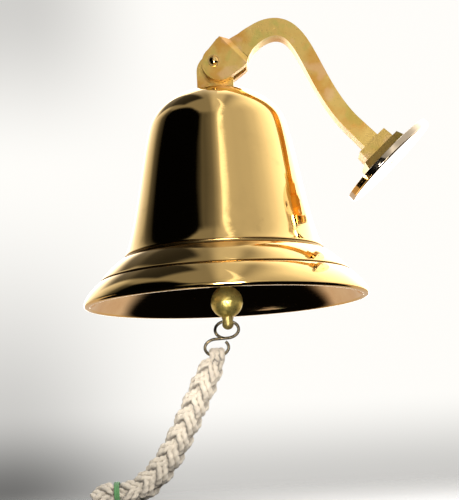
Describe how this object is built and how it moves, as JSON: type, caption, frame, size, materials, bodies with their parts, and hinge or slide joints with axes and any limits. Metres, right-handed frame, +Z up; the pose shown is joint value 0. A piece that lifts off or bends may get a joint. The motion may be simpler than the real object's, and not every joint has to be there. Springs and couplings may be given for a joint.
{
  "type": "ship bell",
  "caption": "Polished brass ship's bell on a swan-neck wall bracket, with a swinging clapper, a wire hook and a plaited cotton lanyard.",
  "frame": {"origin": "middle of the wall plate's back face, where the bracket meets a wall", "axes": "+Z up, along the bell's axis as it hangs plumb; +X from the bell towards the wall plate; +Y along the pivot pin, away from the viewer. The bracket is folded up by 48 degrees about the pin from where a vertical wall would hold it, so the wall plate's outward normal points along (0.669, 0, -0.743)."},
  "size_m": [0.2503, 0.2, 0.3431],
  "materials": {
    "plate_brass": "polished, tarnished edge",
    "satin_brass": "satin, machined",
    "screw_brass": "plain turned",
    "pin_brass": "polished",
    "bell_brass": "mirror polished with fine turning lines",
    "dull_brass": "dull, unpolished",
    "cast_brass": "rough cast",
    "hook_wire": "darkened wire",
    "cotton": "plaited cotton",
    "green_twine": "twine whipping"
  },
  "bodies": {
    "bracket": {"wall_plate": "plate_brass", "base_boss": "satin_brass", "bracket_arm": "satin_brass", "arm_screw": "screw_brass", "pivot_pin": "pin_brass", "pin_washers": "pin_brass"},
    "bell": {"bell_shell": "bell_brass", "crown_lug": "satin_brass", "clapper_eyebolt": "dull_brass", "crown_washer": "dull_brass", "crown_nut": "dull_brass"},
    "clapper": {"clapper_rod": "dull_brass", "clapper_ball": "cast_brass"},
    "hook": {"s_hook": "hook_wire", "lanyard_eye": "cotton", "lanyard": "cotton", "lanyard_band": "green_twine", "lanyard_knob": "cotton"}
  },
  "joints": [
    {"name": "bell_swing", "type": "hinge", "parent": "bracket", "child": "bell", "pos_m": [-0.12173, 0, 0.07945], "axis": [0, 1, 0], "range_deg": [-12, 108]},
    {"name": "clapper_swing", "type": "hinge", "parent": "bell", "child": "clapper", "pos_m": [-0.12173, 0, 0.03315], "axis": [0, 1, 0], "range_deg": [-24, 24]},
    {"name": "hook_swing", "type": "hinge", "parent": "clapper", "child": "hook", "pos_m": [-0.12173, 0, -0.10605], "axis": [1, 0, 0], "range_deg": [-40, 40]}
  ]
}
